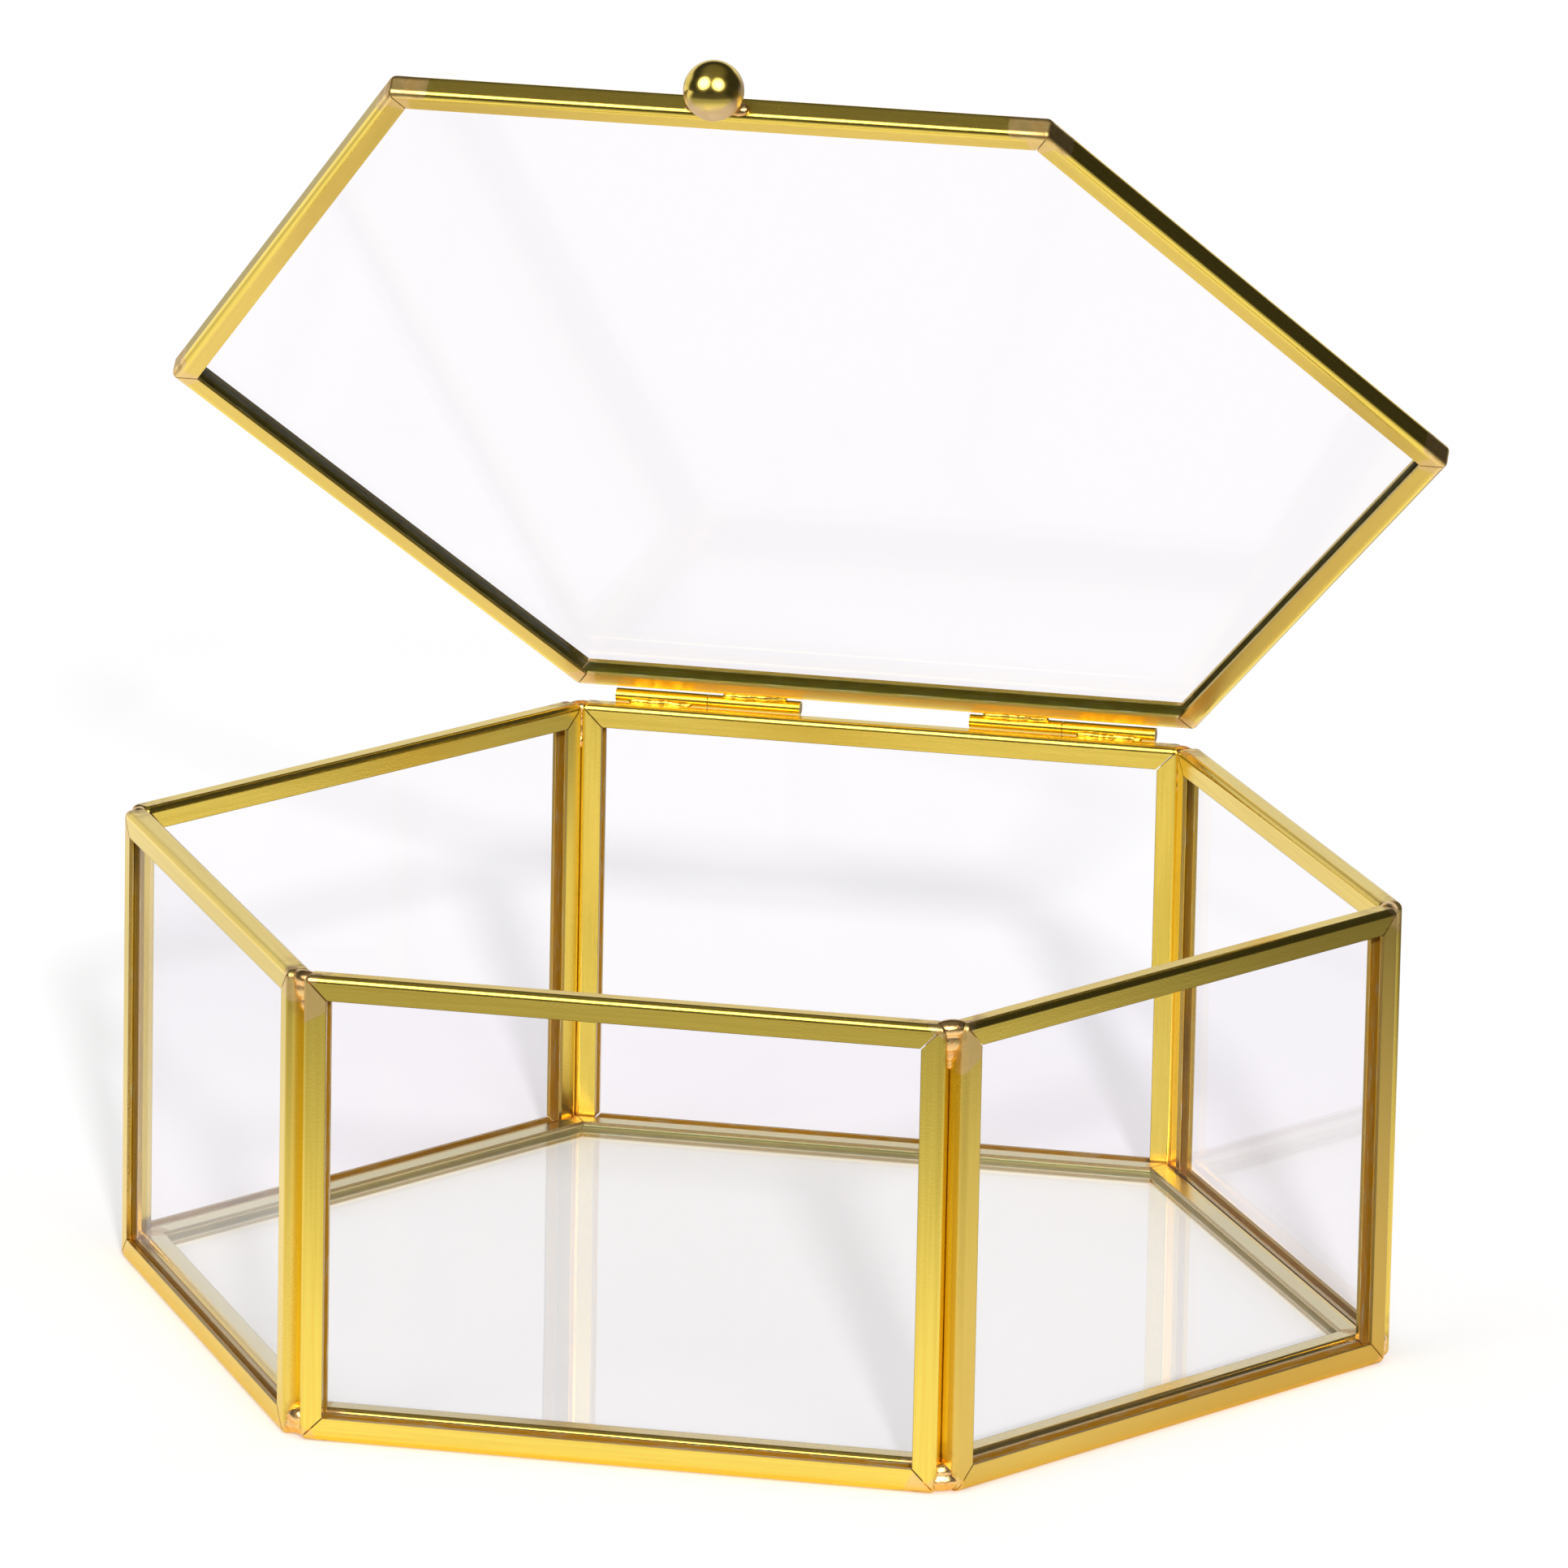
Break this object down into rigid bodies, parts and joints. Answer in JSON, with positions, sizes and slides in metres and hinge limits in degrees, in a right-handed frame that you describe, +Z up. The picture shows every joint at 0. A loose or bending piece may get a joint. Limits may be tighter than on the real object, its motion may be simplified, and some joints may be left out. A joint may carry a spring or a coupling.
{
  "type": "hexagonal keepsake box",
  "caption": "Hexagonal clear glass keepsake box with brass-edged panes soldered at the corners and a glass lid on tube hinges with a ball knob.",
  "frame": {"origin": "centre of the footprint on the surface that the box stands on", "axes": "+Z up, -Y towards the front wall, +X to the right as seen from the front; the hinge axis is parallel to X"},
  "size_m": [0.1762, 0.1558, 0.1786],
  "materials": {
    "clear_glass": "clear float glass",
    "brass_channel": "bright brass strip, lightly drawn lengthwise",
    "brass_tube": "polished brass tube",
    "brass_ball": "polished brass ball",
    "pin_wire": "drawn brass wire",
    "solder": "brass-plated solder, lumpy"
  },
  "bodies": {
    "box": {"front_pane": "clear_glass", "front_edging": "brass_channel", "front_right_pane": "clear_glass", "front_right_edging": "brass_channel", "back_right_pane": "clear_glass", "back_right_edging": "brass_channel", "back_pane": "clear_glass", "back_edging": "brass_channel", "back_left_pane": "clear_glass", "back_left_edging": "brass_channel", "front_left_pane": "clear_glass", "front_left_edging": "brass_channel", "base_pane": "clear_glass", "base_edging": "brass_channel", "base_solder": "solder", "front_right_corner_solder": "solder", "right_corner_solder": "solder", "back_right_corner_solder": "solder", "back_left_corner_solder": "solder", "left_corner_solder": "solder", "front_left_corner_solder": "solder", "left_box_knuckle": "brass_tube", "left_box_knuckle_solder": "solder", "left_hinge_pin": "pin_wire", "right_box_knuckle": "brass_tube", "right_box_knuckle_solder": "solder", "right_hinge_pin": "pin_wire"},
    "lid": {"lid_pane": "clear_glass", "lid_edging": "brass_channel", "knob_ball": "brass_ball", "knob_solder": "solder", "left_lid_knuckle": "brass_tube", "left_lid_knuckle_solder": "solder", "right_lid_knuckle": "brass_tube", "right_lid_knuckle_solder": "solder"}
  },
  "joints": [
    {"name": "lid_hinge", "type": "hinge", "parent": "box", "child": "lid", "pos_m": [0, 0.07771, 0.0636], "axis": [-1, 0, 0], "range_deg": [-44, 136]}
  ]
}
